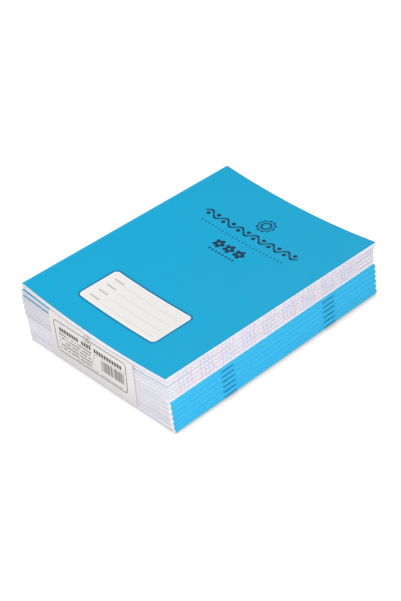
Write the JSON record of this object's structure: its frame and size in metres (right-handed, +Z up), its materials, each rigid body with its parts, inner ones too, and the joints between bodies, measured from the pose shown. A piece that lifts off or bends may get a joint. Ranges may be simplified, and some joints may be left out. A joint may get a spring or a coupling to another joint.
{
  "type": "pack of stapled exercise books",
  "caption": "Pack of stapled exercise books in blue card covers, stacked with the spines half one way and half the other, with a tucked paper label; the top book opens.",
  "frame": {"origin": "middle of the pack's underside, on the table", "axes": "+X across the books towards the lower books' spines, +Y along the spines towards the head, +Z up"},
  "size_m": [0.1688, 0.2128, 0.0522],
  "materials": {
    "cover": "printed card, soft sheen",
    "paper": "matt ruled paper",
    "wire": "bright drawn wire",
    "label": "matt printed paper"
  },
  "bodies": {
    "book_01": {"book_01_cover": "cover", "book_01_pages": "paper", "book_01_staples": "wire"},
    "book_02": {"book_02_cover": "cover", "book_02_pages": "paper", "book_02_staples": "wire"},
    "book_03": {"book_03_cover": "cover", "book_03_pages": "paper", "book_03_staples": "wire"},
    "book_04": {"book_04_cover": "cover", "book_04_pages": "paper", "book_04_staples": "wire"},
    "book_05": {"book_05_cover": "cover", "book_05_pages": "paper", "book_05_staples": "wire"},
    "book_06": {"book_06_cover": "cover", "book_06_pages": "paper", "book_06_staples": "wire"},
    "book_07": {"book_07_cover": "cover", "book_07_pages": "paper", "book_07_staples": "wire"},
    "book_08": {"book_08_cover": "cover", "book_08_pages": "paper", "book_08_staples": "wire"},
    "book_09": {"book_09_cover": "cover", "book_09_pages": "paper", "book_09_staples": "wire"},
    "book_10": {"book_10_cover": "cover", "book_10_pages": "paper", "book_10_staples": "wire"},
    "book_11": {"book_11_cover": "cover", "book_11_pages": "paper", "book_11_staples": "wire"},
    "top_book": {"top_book_back_cover": "cover", "top_book_back_pages": "paper", "top_book_staples": "wire"},
    "front_cover": {"top_book_front_cover": "cover"},
    "leaves_01": {"top_book_leaves_01": "paper"},
    "leaves_02": {"top_book_leaves_02": "paper"},
    "leaves_03": {"top_book_leaves_03": "paper"},
    "leaves_04": {"top_book_leaves_04": "paper"},
    "leaves_05": {"top_book_leaves_05": "paper"},
    "leaves_06": {"top_book_leaves_06": "paper"},
    "leaves_07": {"top_book_leaves_07": "paper"},
    "leaves_08": {"top_book_leaves_08": "paper"},
    "leaves_09": {"top_book_leaves_09": "paper"},
    "leaves_10": {"top_book_leaves_10": "paper"},
    "label": {"label_slip": "label"}
  },
  "joints": [
    {"name": "book_02_lift", "type": "slide", "parent": "book_01", "child": "book_02", "axis": [0, 0, 1], "range_m": [0, 0.03]},
    {"name": "book_03_lift", "type": "slide", "parent": "book_02", "child": "book_03", "axis": [0, 0, 1], "range_m": [0, 0.03]},
    {"name": "book_04_lift", "type": "slide", "parent": "book_03", "child": "book_04", "axis": [0, 0, 1], "range_m": [0, 0.03]},
    {"name": "book_05_lift", "type": "slide", "parent": "book_04", "child": "book_05", "axis": [0, 0, 1], "range_m": [0, 0.03]},
    {"name": "book_06_lift", "type": "slide", "parent": "book_05", "child": "book_06", "axis": [0, 0, 1], "range_m": [0, 0.03]},
    {"name": "book_07_lift", "type": "slide", "parent": "book_06", "child": "book_07", "axis": [0, 0, 1], "range_m": [0, 0.03]},
    {"name": "book_08_lift", "type": "slide", "parent": "book_07", "child": "book_08", "axis": [0, 0, 1], "range_m": [0, 0.03]},
    {"name": "book_09_lift", "type": "slide", "parent": "book_08", "child": "book_09", "axis": [0, 0, 1], "range_m": [0, 0.03]},
    {"name": "book_10_lift", "type": "slide", "parent": "book_09", "child": "book_10", "axis": [0, 0, 1], "range_m": [0, 0.03]},
    {"name": "book_11_lift", "type": "slide", "parent": "book_10", "child": "book_11", "axis": [0, 0, 1], "range_m": [0, 0.03]},
    {"name": "top_book_lift", "type": "slide", "parent": "book_11", "child": "top_book", "axis": [0, 0, 1], "range_m": [0, 0.03]},
    {"name": "front_cover_open", "type": "hinge", "parent": "top_book", "child": "front_cover", "pos_m": [-0.08007, 0.00089, 0.0496], "axis": [-0.0161, -0.9999, 0], "range_deg": [0, 175]},
    {"name": "leaves_01_turn", "type": "hinge", "parent": "top_book", "child": "leaves_01", "pos_m": [-0.08007, 0.00089, 0.0496], "axis": [-0.0161, -0.9999, 0], "range_deg": [0, 96.26]},
    {"name": "leaves_02_turn", "type": "hinge", "parent": "top_book", "child": "leaves_02", "pos_m": [-0.08007, 0.00089, 0.0496], "axis": [-0.0161, -0.9999, 0], "range_deg": [0, 104.33]},
    {"name": "leaves_03_turn", "type": "hinge", "parent": "top_book", "child": "leaves_03", "pos_m": [-0.08007, 0.00089, 0.0496], "axis": [-0.0161, -0.9999, 0], "range_deg": [0, 112.39]},
    {"name": "leaves_04_turn", "type": "hinge", "parent": "top_book", "child": "leaves_04", "pos_m": [-0.08007, 0.00089, 0.0496], "axis": [-0.0161, -0.9999, 0], "range_deg": [0, 120.46]},
    {"name": "leaves_05_turn", "type": "hinge", "parent": "top_book", "child": "leaves_05", "pos_m": [-0.08007, 0.00089, 0.0496], "axis": [-0.0161, -0.9999, 0], "range_deg": [0, 128.53]},
    {"name": "leaves_06_turn", "type": "hinge", "parent": "top_book", "child": "leaves_06", "pos_m": [-0.08007, 0.00089, 0.0496], "axis": [-0.0161, -0.9999, 0], "range_deg": [0, 136.62]},
    {"name": "leaves_07_turn", "type": "hinge", "parent": "top_book", "child": "leaves_07", "pos_m": [-0.08007, 0.00089, 0.0496], "axis": [-0.0161, -0.9999, 0], "range_deg": [0, 144.68]},
    {"name": "leaves_08_turn", "type": "hinge", "parent": "top_book", "child": "leaves_08", "pos_m": [-0.08007, 0.00089, 0.0496], "axis": [-0.0161, -0.9999, 0], "range_deg": [0, 152.75]},
    {"name": "leaves_09_turn", "type": "hinge", "parent": "top_book", "child": "leaves_09", "pos_m": [-0.08007, 0.00089, 0.0496], "axis": [-0.0161, -0.9999, 0], "range_deg": [0, 160.82]},
    {"name": "leaves_10_turn", "type": "hinge", "parent": "top_book", "child": "leaves_10", "pos_m": [-0.08007, 0.00089, 0.0496], "axis": [-0.0161, -0.9999, 0], "range_deg": [0, 168.88]},
    {"name": "label_pull", "type": "slide", "parent": "book_11", "child": "label", "axis": [-0.0052, -1, 0], "range_m": [0, 0.03]}
  ],
  "couplings": [
    {"joint": "leaves_01_turn", "follows": "front_cover_open", "ratio": 0.55},
    {"joint": "leaves_02_turn", "follows": "front_cover_open", "ratio": 0.5961},
    {"joint": "leaves_03_turn", "follows": "front_cover_open", "ratio": 0.6422},
    {"joint": "leaves_04_turn", "follows": "front_cover_open", "ratio": 0.6883},
    {"joint": "leaves_05_turn", "follows": "front_cover_open", "ratio": 0.7344},
    {"joint": "leaves_06_turn", "follows": "front_cover_open", "ratio": 0.7806},
    {"joint": "leaves_07_turn", "follows": "front_cover_open", "ratio": 0.8267},
    {"joint": "leaves_08_turn", "follows": "front_cover_open", "ratio": 0.8728},
    {"joint": "leaves_09_turn", "follows": "front_cover_open", "ratio": 0.9189},
    {"joint": "leaves_10_turn", "follows": "front_cover_open", "ratio": 0.965}
  ]
}
